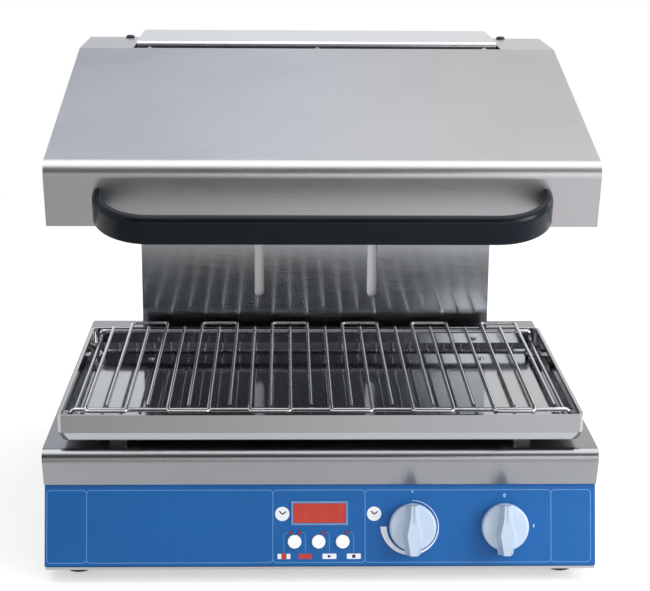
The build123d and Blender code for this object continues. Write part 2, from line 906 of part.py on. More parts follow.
# Handle: D-shaped grip that leans down in front of the fascia
handle_plane = Plane(
    origin=fascia_plane.origin,
    x_dir=(1, 0, 0),
    z_dir=(0, sin(handle_tilt_angle), -cos(handle_tilt_angle)),
)
edge_reach = (
    (handle_thick / 2 - handle_round) * cos(handle_tilt_angle)
    + (handle_tall / 2 - handle_round) * sin(handle_tilt_angle)
    + handle_round
)
root_setback = fascia_y(handle_z) - front_y
handle_length = (handle_reach + root_setback - edge_reach) / cos(handle_tilt_angle)
handle_sunk = handle_tall
with BuildPart() as handle:
    with BuildLine(handle_plane) as handle_path:
        FilletPolyline(
            (-handle_x, -handle_sunk),
            (-handle_x, handle_length),
            (handle_x, handle_length),
            (handle_x, -handle_sunk),
            radius=handle_bend,
        )
    start = handle_path.wires()[0] @ 0
    with BuildSketch(Plane(origin=start, x_dir=(1, 0, 0), z_dir=handle_plane.y_dir)):
        with BuildLine():
            FilletPolyline(
                (-handle_thick / 2, -handle_tall / 2),
                (handle_thick / 2, -handle_tall / 2),
                (handle_thick / 2, handle_tall / 2),
                (-handle_thick / 2, handle_tall / 2),
                radius=[handle_edge, handle_edge, handle_edge, handle_round],
                close=True,
            )
        make_face()
    sweep(path=handle_path.wires()[0])
    behind = handle_sunk + handle_tall
    with BuildSketch(fascia_plane):
        Rectangle(2 * handle_width, 2 * behind)
    extrude(amount=-behind, mode=Mode.SUBTRACT)
    fascia_rod(handle_screw_radius + turn_gap, 0, handle_screw_depth, Mode.SUBTRACT)
keep("handle", handle)

with BuildPart() as handle_screws:
    fascia_rod(handle_screw_head, -sheet - screw_head, -sheet)
    fascia_rod(handle_screw_radius, -sheet, handle_screw_depth - slide_gap)
keep("handle_screws", handle_screws)


# Drip tray with its guides, rivets and grid tabs
def tray_block(inset, rise, mode):
    """The tray's outer form drawn in by an inset: a bevelled foot under upright walls."""
    wide = tray_width - 2 * inset
    deep = tray_depth - 2 * inset
    corner = tray_corner - inset
    with BuildSketch(Plane.XY.offset(tray_z + rise)) as foot:
        with Locations((0, tray_mid)):
            RectangleRounded(wide - 2 * tray_taper, deep - 2 * tray_taper, corner)
    with BuildSketch(Plane.XY.offset(tray_z + tray_bevel)) as waist:
        with Locations((0, tray_mid)):
            RectangleRounded(wide, deep, corner)
    loft([foot.sketch.face(), waist.sketch.face()], mode=mode)
    extrude(waist.sketch, amount=tray_height - tray_bevel - (rim_height if inset else 0), mode=mode)


rivet_places = [
    (x, y)
    for x in mirrored(flange_x)
    for y in (guide_front + rivet_inset, guide_back - rivet_inset)
]
with BuildPart() as drip_tray:
    tray_block(0, 0, Mode.ADD)
    tray_block(sheet, sheet, Mode.SUBTRACT)
    with BuildSketch(Plane.XY.offset(tray_top - rim_height)):
        with Locations((0, tray_mid)):
            RectangleRounded(tray_width - 2 * rim_width, tray_depth - 2 * rim_width, tray_corner - rim_width)
    extrude(amount=rim_height, mode=Mode.SUBTRACT)
    for x, y in rivet_places:
        rod_z(screw_hole, x, y, tray_z - sheet, tray_floor + sheet, Mode.SUBTRACT)
keep("drip_tray", drip_tray)

with BuildPart() as tray_guides:
    for side in (-1, 1):
        lip = sorted((side * guide_edge, side * (guide_edge - sheet)))
        flange = sorted((side * guide_edge, side * (guide_edge - sheet - guide_flange)))
        slab((lip[0], guide_front, tray_z - guide_lip), (lip[1], guide_back, tray_z))
        slab((flange[0], guide_front, tray_z - sheet), (flange[1], guide_back, tray_z))
    for x, y in rivet_places:
        rod_z(screw_hole, x, y, tray_z - 2 * sheet, tray_z + sheet, Mode.SUBTRACT)
keep("tray_guides", tray_guides)

with BuildPart() as tray_rivets:
    for x, y in rivet_places:
        rod_z(rivet_radius, x, y, tray_floor, tray_floor + sheet)
        rod_z(screw_radius, x, y, tray_z - sheet, tray_floor)
keep("tray_rivets", tray_rivets)

with BuildPart() as grid_tabs:
    tab_top = grid_side_z - grid_frame_radius - slide_gap
    wall = tray_width / 2 - sheet
    for side in (-1, 1):
        reach = sorted((side * wall, side * (grid_side - 2 * grid_frame_radius)))
        for y in (tray_mid - tab_spacing / 2, tray_mid + tab_spacing / 2):
            slab(
                (reach[0], y - tab_length / 2, tab_top - tab_thickness),
                (reach[1], y + tab_length / 2, tab_top),
            )
keep("grid_tabs", grid_tabs)

# Wire grid: a bent frame under hairpin wires that loop by turns at the front and the back
with BuildPart() as grid_frame:
    with BuildLine() as frame_path:
        FilletPolyline(
            (0, grid_rear, grid_frame_z),
            (grid_side, grid_rear, grid_frame_z),
            (grid_side, grid_rear, grid_side_z),
            (grid_side, grid_front, grid_side_z),
            (grid_side, grid_front, grid_frame_z),
            (0, grid_front, grid_frame_z),
            radius=grid_bend,
        )
    with BuildSketch(Plane(origin=(0, grid_rear, grid_frame_z), z_dir=(1, 0, 0))):
        Circle(grid_frame_radius)
    sweep(path=frame_path.wires()[0])
    mirror(about=Plane.YZ)
keep("grid_frame", grid_frame)

wire_places = [(i - (wire_count - 1) / 2) * wire_pitch for i in range(wire_count)]
with BuildPart() as grid_wires:
    for first in range(0, wire_count - 3, 4):
        left, right = wire_places[first], wire_places[first + 2]
        loop_y = grid_front - front_loop
        step_y = grid_front - grid_frame_radius
        with BuildLine() as front_path:
            FilletPolyline(
                (left, grid_rear, wire_z),
                (left, step_y, wire_z),
                (left, loop_y, wire_z - front_loop_drop),
                (right, loop_y, wire_z - front_loop_drop),
                (right, step_y, wire_z),
                (right, grid_rear, wire_z),
                radius=[step_bend, loop_bend, loop_bend, step_bend],
            )
        with BuildSketch(Plane(origin=(left, grid_rear, wire_z), z_dir=(0, -1, 0))):
            Circle(wire_radius)
        sweep(path=front_path.wires()[0])
        left, right = wire_places[first + 1], wire_places[first + 3]
        loop_y = tray_back + rear_loop
        with BuildLine() as rear_path:
            FilletPolyline(
                (left, grid_front, wire_z),
                (left, loop_y, wire_z),
                (right, loop_y, wire_z),
                (right, grid_front, wire_z),
                radius=loop_bend,
            )
        with BuildSketch(Plane(origin=(left, grid_front, wire_z), z_dir=(0, 1, 0))):
            Circle(wire_radius)
        sweep(path=rear_path.wires()[0])
keep("grid_wires", grid_wires)

# Knobs: round disc with a raised leaf-shaped grip and a pointer groove
knob_back = panel_y - knob_gap
disc_face = knob_back - knob_disc
blade_face = disc_face - knob_blade
blade_leaf = [(2.6, 0.97), (3.2, 0.45), (7, -0.3), (3.4, -1.14)]


def leaf(x, spread):
    """Grip outline about the knob's centre, widened by a spread."""
    right = [(x + half + spread, knob_z + rise * knob_radius) for half, rise in blade_leaf]
    left = [(2 * x - px, pz) for px, pz in reversed(right)]
    with BuildLine() as edge:
        Polyline(*right, *left, close=True)
    make_face(edge.edges())


for name, x in (("timer", timer_x), ("power", power_x)):
    with BuildPart() as knob:
        rod_y(knob_radius, x, disc_face, knob_back, knob_z)
        fillet(knob.edges().filter_by(GeomType.CIRCLE).sort_by(Axis.Y)[0], knob_edge)
        with BuildSketch(Plane.XZ.offset(-disc_face - knob_edge)):
            leaf(x, knob_blade_spread)
        with BuildSketch(Plane.XZ.offset(-blade_face)):
            leaf(x, 0)
        loft()
        slab(
            (x - pointer_width / 2, blade_face, knob_z + knob_radius - pointer_length),
            (x + pointer_width / 2, blade_face + pointer_depth, knob_z + knob_radius),
            Mode.SUBTRACT,
        )
        rod_y(shaft_radius + knob_fit, x, knob_back - knob_bore, knob_back, knob_z, Mode.SUBTRACT)
    keep_leaned(f"{name}_knob", knob)
    with BuildPart() as shaft:
        rod_y(shaft_radius, x, knob_back - knob_bore, panel_back + shaft_depth, knob_z)
    keep_leaned(f"{name}_shaft", shaft)
    with BuildPart() as switch:
        half = switch_width / 2
        slab((x - half, panel_back, knob_z - half), (x + half, panel_back + switch_depth, knob_z + half))
        rod_y(
            shaft_radius + turn_gap, x,
            panel_back, panel_back + shaft_depth + slide_gap, knob_z, Mode.SUBTRACT,
        )
    keep_leaned(f"{name}_switch", switch)

# Display, buttons, lamps and their board
with BuildPart() as display_bezel:
    with BuildSketch(Plane.XZ.offset(-panel_y)):
        with Locations((display_x, display_z)):
            Rectangle(display_wide + 2 * bezel_margin, display_tall + 2 * bezel_margin)
            Rectangle(display_wide + 2 * fit, display_tall + 2 * fit, mode=Mode.SUBTRACT)
    extrude(amount=bezel_proud)
keep_leaned("display_bezel", display_bezel)

lens_back = panel_y - lens_proud + lens_depth
with BuildPart() as display_lens:
    with BuildSketch(Plane.XZ.offset(-lens_back)):
        with Locations((display_x, display_z)):
            Rectangle(display_wide, display_tall)
    extrude(amount=lens_depth)
keep_leaned("display_lens", display_lens)

with BuildPart() as display_module:
    with BuildSketch(Plane.XZ.offset(-board_front)):
        with Locations((display_x, display_z)):
            Rectangle(display_wide, display_tall)
    extrude(amount=board_front - lens_back)
keep_leaned("display_module", display_module)

with BuildPart() as control_board:
    slab(
        (display_x - board_width / 2, board_front, board_z),
        (display_x + board_width / 2, board_front + board_thickness, board_z + board_height),
    )
keep_leaned("control_board", control_board)

with BuildPart() as board_spacers:
    for x in mirrored(board_width / 2 - spacer_inset):
        for z in (board_z + spacer_inset, board_z + board_height - spacer_inset):
            rod_y(spacer_radius, display_x + x, panel_back, board_front, z)
keep_leaned("board_spacers", board_spacers)

with BuildPart() as tact_switches:
    half = tact_size / 2
    tact_front = board_front - tact_height
    for x in button_places:
        slab((x - half, tact_front, button_z - half), (x + half, board_front, button_z + half))
keep_leaned("tact_switches", tact_switches)

with BuildPart() as indicator_lenses:
    for x in led_places:
        rod_y(led_radius, x, panel_y - led_proud, board_front, led_z)
keep_leaned("indicator_lenses", indicator_lenses)

for name, x in zip(("left", "middle", "right"), button_places):
    with BuildPart() as button:
        flange_front = panel_back + slide_gap
        rod_y(button_radius, x, panel_y - button_proud, flange_front, button_z)
        fillet(button.edges().filter_by(GeomType.CIRCLE).sort_by(Axis.Y)[0], button_edge)
        rod_y(button_radius + button_flange, x, flange_front, flange_front + sheet, button_z)
        rod_y(
            stem_radius, x, flange_front + sheet,
            board_front - tact_height - button_travel - slide_gap, button_z,
        )
    keep_leaned(f"{name}_button", button)

# Mains inlet
with BuildPart() as cable_gland:
    rod_y(gland_radius - fit, gland_x, rear_y - sheet, rear_y, gland_z)
    with BuildSketch(Plane.XZ.offset(-rear_y)):
        with Locations((gland_x, gland_z)):
            RegularPolygon(gland_radius + 2 * sheet, 6)
    extrude(amount=-gland_proud / 2)
    rod_y(gland_radius, gland_x, rear_y, rear_y + gland_proud, gland_z)
    with BuildSketch(Plane.XZ.offset(-rear_y + sheet)):
        with Locations((gland_x, gland_z)):
            RegularPolygon(gland_radius + 2 * sheet, 6)
    extrude(amount=gland_inner)
    rod_y(gland_bore, gland_x, rear_y - sheet - gland_inner, rear_y + gland_proud, gland_z, Mode.SUBTRACT)
keep("cable_gland", cable_gland)

with BuildPart() as terminal_block:
    block_back = rear_y - sheet - terminal_block_gap
    slab(
        (gland_x - terminal_block_length / 2, block_back - terminal_block_depth, panel_z),
        (gland_x + terminal_block_length / 2, block_back, panel_z + terminal_block_height),
    )
keep("terminal_block", terminal_block)

for name, piece in pieces.items():
    export_step(piece, f"parts/{name}.step")
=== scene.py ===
import json
import math

import bmesh
import bpy
from mathutils import Euler, Matrix, Vector


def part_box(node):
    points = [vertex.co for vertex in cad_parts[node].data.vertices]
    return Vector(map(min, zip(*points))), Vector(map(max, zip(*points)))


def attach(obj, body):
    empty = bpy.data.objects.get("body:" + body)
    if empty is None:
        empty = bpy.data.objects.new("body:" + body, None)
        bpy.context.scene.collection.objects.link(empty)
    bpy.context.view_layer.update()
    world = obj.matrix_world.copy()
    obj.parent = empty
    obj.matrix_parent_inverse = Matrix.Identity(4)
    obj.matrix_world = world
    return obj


# Salamander grill: finishes, panel print, stage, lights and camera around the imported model. Metres, +Z up.
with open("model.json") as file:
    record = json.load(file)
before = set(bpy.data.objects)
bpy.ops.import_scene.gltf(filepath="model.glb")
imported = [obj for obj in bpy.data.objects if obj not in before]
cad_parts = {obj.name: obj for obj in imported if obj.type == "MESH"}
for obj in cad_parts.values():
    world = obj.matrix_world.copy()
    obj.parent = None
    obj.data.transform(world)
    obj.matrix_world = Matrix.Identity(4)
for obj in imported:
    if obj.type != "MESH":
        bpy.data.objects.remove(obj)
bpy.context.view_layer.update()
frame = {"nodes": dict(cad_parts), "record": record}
nodes = frame["nodes"]
scene = bpy.context.scene
scene.view_settings.view_transform = "Standard"

MM = 0.001


# Node helpers

def new_material(name):
    """A material with its tree and its Principled shader."""
    made = bpy.data.materials.new(name)
    made.use_nodes = True
    return made, made.node_tree, made.node_tree.nodes["Principled BSDF"]


def stretched_coords(tree, scale):
    """Object coordinates scaled by axis, so that a noise of scale 1 has features of 1 / scale metres."""
    coords = tree.nodes.new("ShaderNodeTexCoord")
    mapping = tree.nodes.new("ShaderNodeMapping")
    mapping.inputs["Scale"].default_value = scale
    tree.links.new(coords.outputs["Object"], mapping.inputs["Vector"])
    return mapping.outputs["Vector"]


def noise(tree, scale, detail=2.0, warp=0.0):
    """Noise from 0 to 1 with features of 1 / scale metres along X, Y and Z."""
    texture = tree.nodes.new("ShaderNodeTexNoise")
    texture.inputs["Scale"].default_value = 1.0
    texture.inputs["Detail"].default_value = detail
    texture.inputs["Distortion"].default_value = warp
    tree.links.new(stretched_coords(tree, scale), texture.inputs["Vector"])
    return texture.outputs["Fac"]


def spread(tree, value, low, high):
    """The middle of a noise's range, stretched to low and high."""
    node = tree.nodes.new("ShaderNodeMapRange")
    node.inputs["From Min"].default_value = 0.3
    node.inputs["From Max"].default_value = 0.7
    node.inputs["To Min"].default_value = low
    node.inputs["To Max"].default_value = high
    tree.links.new(value, node.inputs["Value"])
    return node.outputs["Result"]


def blend_colours(tree, factor, low, high):
    """A colour between low and high, both linear RGB."""
    node = tree.nodes.new("ShaderNodeMix")
    node.data_type = "RGBA"
    node.inputs["A"].default_value = (*low, 1.0)
    node.inputs["B"].default_value = (*high, 1.0)
    tree.links.new(factor, node.inputs["Factor"])
    return node.outputs["Result"]


def add(tree, first, second):
    """The sum of two values."""
    node = tree.nodes.new("ShaderNodeMath")
    node.operation = "ADD"
    tree.links.new(first, node.inputs[0])
    tree.links.new(second, node.inputs[1])
    return node.outputs["Value"]


def bump(tree, shader, layers):
    """Bump layers, each a height, a strength and a depth in metres, on top of each other."""
    normal = None
    for height, strength, depth in layers:
        node = tree.nodes.new("ShaderNodeBump")
        node.inputs["Strength"].default_value = strength
        node.inputs["Distance"].default_value = depth
        tree.links.new(height, node.inputs["Height"])
        if normal is not None:
            tree.links.new(normal, node.inputs["Normal"])
        normal = node.outputs["Normal"]
    tree.links.new(normal, shader.inputs["Normal"])


# Finishes

SMUDGE_SCALE = (7, 7, 7)
SMUDGE_ROUGHNESS = 0.012
BRUSH_STRENGTH, BRUSH_DEPTH = 0.012, 0.0001
WAVE_SCALE, WAVE_DEPTH = (9, 9, 5), 0.01


def scaled(colour, factor):
    """A linear colour made lighter or darker."""
    return tuple(part * factor for part in colour)


def steel(name, colour, roughness, brush, grain=0.03, wave=0.0, stretch=0.0):
    """Metal brushed along the axis whose brush scale is small, with smudges and, if set, slight waves.

    A stretch above 0 blurs its reflections up and down, across brush lines that run along X.
    """
    made, tree, shader = new_material(name)
    lines = noise(tree, brush, detail=3.0)
    smudge = noise(tree, SMUDGE_SCALE, detail=4.0, warp=0.6)
    tone = blend_colours(tree, spread(tree, smudge, 0.0, 1.0), scaled(colour, 0.98), scaled(colour, 1.02))
    tree.links.new(tone, shader.inputs["Base Color"])
    rough_lines = spread(tree, lines, roughness - grain, roughness + grain)
    rough_smudge = spread(tree, smudge, -SMUDGE_ROUGHNESS, SMUDGE_ROUGHNESS)
    tree.links.new(add(tree, rough_lines, rough_smudge), shader.inputs["Roughness"])
    shader.inputs["Metallic"].default_value = 1.0
    if stretch > 0:
        around = tree.nodes.new("ShaderNodeTangent")
        around.direction_type = "RADIAL"
        around.axis = "X"
        tree.links.new(around.outputs["Tangent"], shader.inputs["Tangent"])
        shader.inputs["Anisotropic"].default_value = stretch
    layers = [(lines, BRUSH_STRENGTH, BRUSH_DEPTH)]
    if wave > 0:
        layers.append((noise(tree, WAVE_SCALE, detail=1.0), wave, WAVE_DEPTH))
    bump(tree, shader, layers)
    return made


def moulded(name, colour, roughness, grain_size=0.0006, depth=0.00006, coat=0.0, gloss=0.5):
    """Moulded plastic or rubber with a fine spark-eroded grain and faint handling marks."""
    made, tree, shader = new_material(name)
    size = 1 / grain_size
    grain = noise(tree, (size, size, size), detail=2.0)
    marks = noise(tree, (22, 22, 22), detail=3.0, warp=0.4)
    tone = blend_colours(tree, spread(tree, marks, 0.0, 1.0), scaled(colour, 0.93), scaled(colour, 1.06))
    tree.links.new(tone, shader.inputs["Base Color"])
    tree.links.new(spread(tree, marks, roughness - 0.05, roughness + 0.05), shader.inputs["Roughness"])
    shader.inputs["Specular IOR Level"].default_value = gloss
    shader.inputs["Coat Weight"].default_value = coat
    shader.inputs["Coat Roughness"].default_value = 0.15
    bump(tree, shader, [(grain, 0.25, depth)])
    return made


def painted(name, colour, roughness, gloss=0.3):
    """Sprayed satin paint with orange peel."""
    made, tree, shader = new_material(name)
    peel = noise(tree, (420, 420, 420), detail=1.0)
    drift = noise(tree, (5, 5, 5), detail=3.0)
    tone = blend_colours(tree, spread(tree, drift, 0.0, 1.0), scaled(colour, 0.94), scaled(colour, 1.06))
    tree.links.new(tone, shader.inputs["Base Color"])
    tree.links.new(spread(tree, drift, roughness - 0.04, roughness + 0.04), shader.inputs["Roughness"])
    shader.inputs["Specular IOR Level"].default_value = gloss
    bump(tree, shader, [(peel, 0.12, 0.0001)])
    return made


def glowing_lens(name, colour, glow):
    """Red tinted plastic with a weak glow that varies over its face; on the unlit display window this is a
    painted glow.
    """
    made, tree, shader = new_material(name)
    cloud = noise(tree, (120, 120, 60), detail=2.0)
    tone = blend_colours(tree, spread(tree, cloud, 0.0, 1.0), scaled(colour, 0.96), scaled(colour, 1.04))
    tree.links.new(tone, shader.inputs["Base Color"])
    tree.links.new(tone, shader.inputs["Emission Color"])
    shader.inputs["Emission Strength"].default_value = glow
    tree.links.new(spread(tree, cloud, 0.22, 0.3), shader.inputs["Roughness"])
    return made


def fibrous(name, colour):
    """Mineral wool: matted fibres with a rough, loose surface."""
    made, tree, shader = new_material(name)
    fibres = noise(tree, (900, 160, 900), detail=5.0, warp=2.0)
    tone = blend_colours(tree, spread(tree, fibres, 0.0, 1.0), scaled(colour, 0.7), scaled(colour, 1.1))
    tree.links.new(tone, shader.inputs["Base Color"])
    tree.links.new(spread(tree, fibres, 0.85, 1.0), shader.inputs["Roughness"])
    bump(tree, shader, [(fibres, 0.6, 0.001)])
    return made


ALONG_X = (20, 900, 900)
ALONG_Z = (900, 900, 5)
FINE = (300, 300, 300)

finishes = {
    "stainless": steel("stainless", (0.45, 0.453, 0.465), 0.29, ALONG_X, 0.012, stretch=0.7),
    # The deck steel is a darker copy of the stainless: painted shade that dims the reflections on the base's
    # front band.
    "shaded_deck_steel": steel("shaded_deck_steel", (0.3, 0.306, 0.318), 0.23, ALONG_X, 0.012, stretch=0.6),
    "column_steel": steel("column_steel", (0.4, 0.42, 0.435), 0.13, ALONG_X, 0.02, 0.07, 0.85),
    "tray_steel": steel("tray_steel", (0.42, 0.435, 0.45), 0.09, ALONG_X, 0.01, 0.02),
    "polished_steel": steel("polished_steel", (0.6, 0.6, 0.61), 0.14, FINE),
    "bright_wire": steel("bright_wire", (0.6, 0.6, 0.62), 0.16, FINE),
    "screw_steel": steel("screw_steel", (0.46, 0.46, 0.46), 0.25, FINE),
    "cover_steel": steel("cover_steel", (0.8, 0.8, 0.82), 0.55, ALONG_Z),
    "cap_steel": steel("cap_steel", (0.62, 0.63, 0.65), 0.3, ALONG_X),
    "aluminium": steel("aluminium", (0.66, 0.66, 0.68), 0.38, ALONG_X),
    "brass": steel("brass", (0.6, 0.42, 0.16), 0.3, ALONG_Z),
    "element_sheath": steel("element_sheath", (0.16, 0.14, 0.13), 0.5, FINE),
    "blue_paint": painted("blue_paint", (0.006, 0.108, 0.355), 0.42, 0.22),
    "board_green": painted("board_green", (0.02, 0.16, 0.06), 0.4),
    "black_plastic": moulded("black_plastic", (0.002, 0.007, 0.011), 0.25, gloss=0.16),
    "black_trim": moulded("black_trim", (0.015, 0.015, 0.017), 0.4, gloss=0.35),
    "bezel_grey": moulded("bezel_grey", (0.12, 0.25, 0.5), 0.4),
    "grey_plastic": moulded("grey_plastic", (0.49, 0.59, 0.73), 0.3),
    "white_plastic": moulded("white_plastic", (0.92, 0.93, 0.95), 0.3),
    "rubber": moulded("rubber", (0.012, 0.012, 0.012), 0.7, 0.0012, 0.00012),
    "ceramic": moulded("ceramic", (0.8, 0.78, 0.73), 0.25, 0.003, 0.0001, 0.4),
    # The display window's glow is painted light: the display behind it is not lit.
    "red_lens": glowing_lens("red_lens", (0.43, 0.026, 0.014), 0.15),
    "lamp_red": glowing_lens("lamp_red", (0.2, 0.03, 0.03), 0.05),
    "mineral_wool": fibrous("mineral_wool", (0.68, 0.62, 0.47)),
}

own_finish = {
    "base_deck": "shaded_deck_steel",
    "column_front_plate": "column_steel",
    "column_cap": "cap_steel",
    "drip_tray": "tray_steel",
    "display_bezel": "bezel_grey",
    "slot_covers": "cover_steel",
    "indicator_lenses": "lamp_red",
}

for part in frame["record"]["subparts"]:
    finish = finishes[own_finish.get(part["node"], part["material_slot"])]
    for place in nodes[part["node"]].material_slots:
        place.material = finish


# Panel print: thin raised ink on the face of the leaning control panel, in millimetres across and up the face

PANEL_LEAN = math.radians(16)
PANEL_SHEET = 1.5
panel_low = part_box("control_panel")[0]
FACE_FOOT_Y = panel_low.y / MM
FACE_FOOT_Z = panel_low.z / MM + PANEL_SHEET * math.sin(PANEL_LEAN)
INK = 0.06


def on_face(x, up, lift):
    """The point on the panel's face that lies up from its foot, lifted off the face."""
    y = FACE_FOOT_Y + up * math.sin(PANEL_LEAN) - lift * math.cos(PANEL_LEAN)
    z = FACE_FOOT_Z + up * math.cos(PANEL_LEAN) + lift * math.sin(PANEL_LEAN)
    return Vector((x, y, z)) * MM


def arc(centre, radius, start, end, steps):
    """Points on an arc, with angles in degrees."""
    turns = [math.radians(start + (end - start) * i / steps) for i in range(steps + 1)]
    return [(centre[0] + radius * math.cos(t), centre[1] + radius * math.sin(t)) for t in turns]


def rounded_box(left, right, low, high, radius, steps=6):
    """The outline of a box with round corners, counter-clockwise."""
    corners = [
        ((right - radius, high - radius), 0),
        ((left + radius, high - radius), 90),
        ((left + radius, low + radius), 180),
        ((right - radius, low + radius), 270),
    ]
    return [p for centre, start in corners for p in arc(centre, radius, start, start + 90, steps)]


def ink_prism(mesh, outline, lift=INK):
    """A filled shape, printed on the panel's face."""
    back = [mesh.verts.new(on_face(x, up, 0)) for x, up in outline]
    front = [mesh.verts.new(on_face(x, up, lift)) for x, up in outline]
    mesh.faces.new(front)
    mesh.faces.new(list(reversed(back)))
    count = len(outline)
    for i in range(count):
        j = (i + 1) % count
        mesh.faces.new((back[i], back[j], front[j], front[i]))


def ink_strip(mesh, first, second, closed, lift=INK):
    """A band between two lines of as many points, printed on the panel's face."""
    rows = []
    for line in (first, second):
        for height in (0, lift):
            rows.append([mesh.verts.new(on_face(x, up, height)) for x, up in line])
    first_back, first_front, second_back, second_front = rows
    loop = [first_back, first_front, second_front, second_back]
    count = len(first)
    for i in range(count if closed else count - 1):
        j = (i + 1) % count
        for a, b in zip(loop, loop[1:] + loop[:1]):
            mesh.faces.new((a[i], a[j], b[j], b[i]))
    if not closed:
        mesh.faces.new([row[0] for row in loop])
        mesh.faces.new([row[-1] for row in reversed(loop)])


def ink_path(mesh, points, width, lift=INK):
    """A line of even width along points."""
    left, right = [], []
    for i, point in enumerate(points):
        here = Vector(point)
        ahead = Vector(points[min(i + 1, len(points) - 1)])
        behind = Vector(points[max(i - 1, 0)])
        along = (ahead - behind).normalized()
        across = Vector((-along.y, along.x)) * width / 2
        left.append(here + across)
        right.append(here - across)
    ink_strip(mesh, left, right, False, lift)


def printed(name, draw, finish):
    """One printed colour: draw(mesh) adds its shapes."""
    work = bmesh.new()
    draw(work)
    bmesh.ops.recalc_face_normals(work, faces=work.faces)
    data = bpy.data.meshes.new(name)
    work.to_mesh(data)
    work.free()
    piece = bpy.data.objects.new(name, data)
    scene.collection.objects.link(piece)
    data.materials.append(finish)
    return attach(piece, "housing")


CELL_EDGES = (-297.2, -254.2, -52.3, 48.1, 251.1, 294.5)
CELL_LOW, CELL_HIGH = 3.6, 82.2
CELL_CORNER = 4.0
CELL_LINE = 0.9
LAMP_HEIGHT = 35.9
LAMPS = (-33.1, -23.3, 2.9, 29.1)
LAMP_CLEARANCE = 2.8
LEADER_LINE, LEADER_BEND, LEADER_GAP = 0.6, 3.0, 0.8
SYMBOLS = (-40.2, -17.0, 9.3, 35.8)
SYMBOL_LOW, SYMBOL_HIGH = 7.4, 13.2
FLANK_PLACE, FLANK_HALF = 4.9, 2.1
PLATE_HALF = 7.6
RED_BAR_HALF, RED_BAR_EXTRA = 2.5, 0.4
RED_BOX_HALF, RED_BOX_STEP = 2.3, 5.0
TRIANGLE_BACK, TRIANGLE_FRONT, TRIANGLE_HALF = 1.8, 2.2, 2.0
SQUARE_HALF = 1.8
CLOCKS = (-42.0, 57.9)
CLOCK_HEIGHT, CLOCK_RADIUS, CLOCK_STEPS = 56.4, 7.75, 48
CLOCK_HUB_DROP = 0.6
LEFT_HAND, RIGHT_HAND, HAND_LINE = (-3.2, 3.0), (4.0, 2.6), 1.4
TIMER, POWER = (99.6, 42.3), (200.3, 42.3)
SWEEP_START, SWEEP_TURN, SWEEP_STEPS = 180, 270, 60
SWEEP_INNER, SWEEP_LEAST, SWEEP_EXTRA, SWEEP_TAPER = 28.0, 0.5, 6.5, 2.4
TIMER_TICK, TIMER_TICK_LINE = (79.2, 81.2), 0.9
ZERO_HEIGHT, ZERO_STEPS = 76.1, 24
ZERO_HALF, ZERO_HOLE = (1.2, 1.9), (0.6, 0.72)
POWER_TICK_X, POWER_TICK, POWER_TICK_LINE = 232.3, (41.0, 44.7), 0.8


def draw_lines(mesh):
    """Outlines of the panel's cells, and leaders from the lamps to their symbols."""
    for i, (left, right) in enumerate(zip(CELL_EDGES, CELL_EDGES[1:])):
        half = CELL_LINE / 2
        outer = rounded_box(left - half, right + half, CELL_LOW - half, CELL_HIGH + half, CELL_CORNER + half)
        inner = rounded_box(left + half, right - half, CELL_LOW + half, CELL_HIGH - half, CELL_CORNER - half)
        ink_strip(mesh, outer, inner, True, INK * (1 + 0.1 * (i % 2)))
    for lamp, symbol in zip(LAMPS, SYMBOLS):
        side = math.copysign(1, symbol - lamp)
        corner = (symbol - side * LEADER_BEND, LAMP_HEIGHT - LEADER_BEND)
        turn = arc(corner, LEADER_BEND, 90, 0 if side > 0 else 180, 6)
        start = (lamp + side * LAMP_CLEARANCE, LAMP_HEIGHT)
        ink_path(mesh, [start, *turn, (symbol, SYMBOL_HIGH + LEADER_GAP)], LEADER_LINE)


def draw_white(mesh):
    """Clock faces, symbol plates, the tapering sweep round the timer knob, and the marks of both knobs."""
    for x in CLOCKS:
        ink_prism(mesh, arc((x, CLOCK_HEIGHT), CLOCK_RADIUS, 0, 360 - 360 / CLOCK_STEPS, CLOCK_STEPS - 1))
    for x in (SYMBOLS[0] - FLANK_PLACE, SYMBOLS[0] + FLANK_PLACE):
        ink_prism(mesh, rounded_box(x - FLANK_HALF, x + FLANK_HALF, SYMBOL_LOW, SYMBOL_HIGH, 0.5, 2))
    for x in SYMBOLS[2:]:
        ink_prism(mesh, rounded_box(x - PLATE_HALF, x + PLATE_HALF, SYMBOL_LOW, SYMBOL_HIGH, 1.0, 3))
    outer, inner = [], []
    for i in range(SWEEP_STEPS + 1):
        share = i / SWEEP_STEPS
        angle = SWEEP_START + SWEEP_TURN * share
        radius = SWEEP_INNER + SWEEP_LEAST + SWEEP_EXTRA * (1 - share) ** SWEEP_TAPER
        outer += arc(TIMER, radius, angle, angle, 1)[:1]
        inner += arc(TIMER, SWEEP_INNER, angle, angle, 1)[:1]
    ink_strip(mesh, outer, inner, False)
    ink_path(mesh, [(TIMER[0], up) for up in TIMER_TICK], TIMER_TICK_LINE)
    turns = [2 * math.pi * i / ZERO_STEPS for i in range(ZERO_STEPS)]
    zero = [(ZERO_HALF[0] * math.cos(t), ZERO_HALF[1] * math.sin(t)) for t in turns]
    outer = [(POWER[0] + x, ZERO_HEIGHT + up) for x, up in zero]
    inner = [(POWER[0] + x * ZERO_HOLE[0], ZERO_HEIGHT + up * ZERO_HOLE[1]) for x, up in zero]
    ink_strip(mesh, outer, inner, True)
    ink_path(mesh, [(POWER_TICK_X, up) for up in POWER_TICK], POWER_TICK_LINE)


def draw_red(mesh):
    """The red bar of the first symbol and the three red boxes of the second."""
    x = SYMBOLS[0]
    low, high = SYMBOL_LOW - RED_BAR_EXTRA, SYMBOL_HIGH + RED_BAR_EXTRA
    ink_prism(mesh, rounded_box(x - RED_BAR_HALF, x + RED_BAR_HALF, low, high, 0.8, 3))
    for step in (-1, 0, 1):
        x = SYMBOLS[1] + step * RED_BOX_STEP
        ink_prism(mesh, rounded_box(x - RED_BOX_HALF, x + RED_BOX_HALF, SYMBOL_LOW, SYMBOL_HIGH, 0.6, 3))


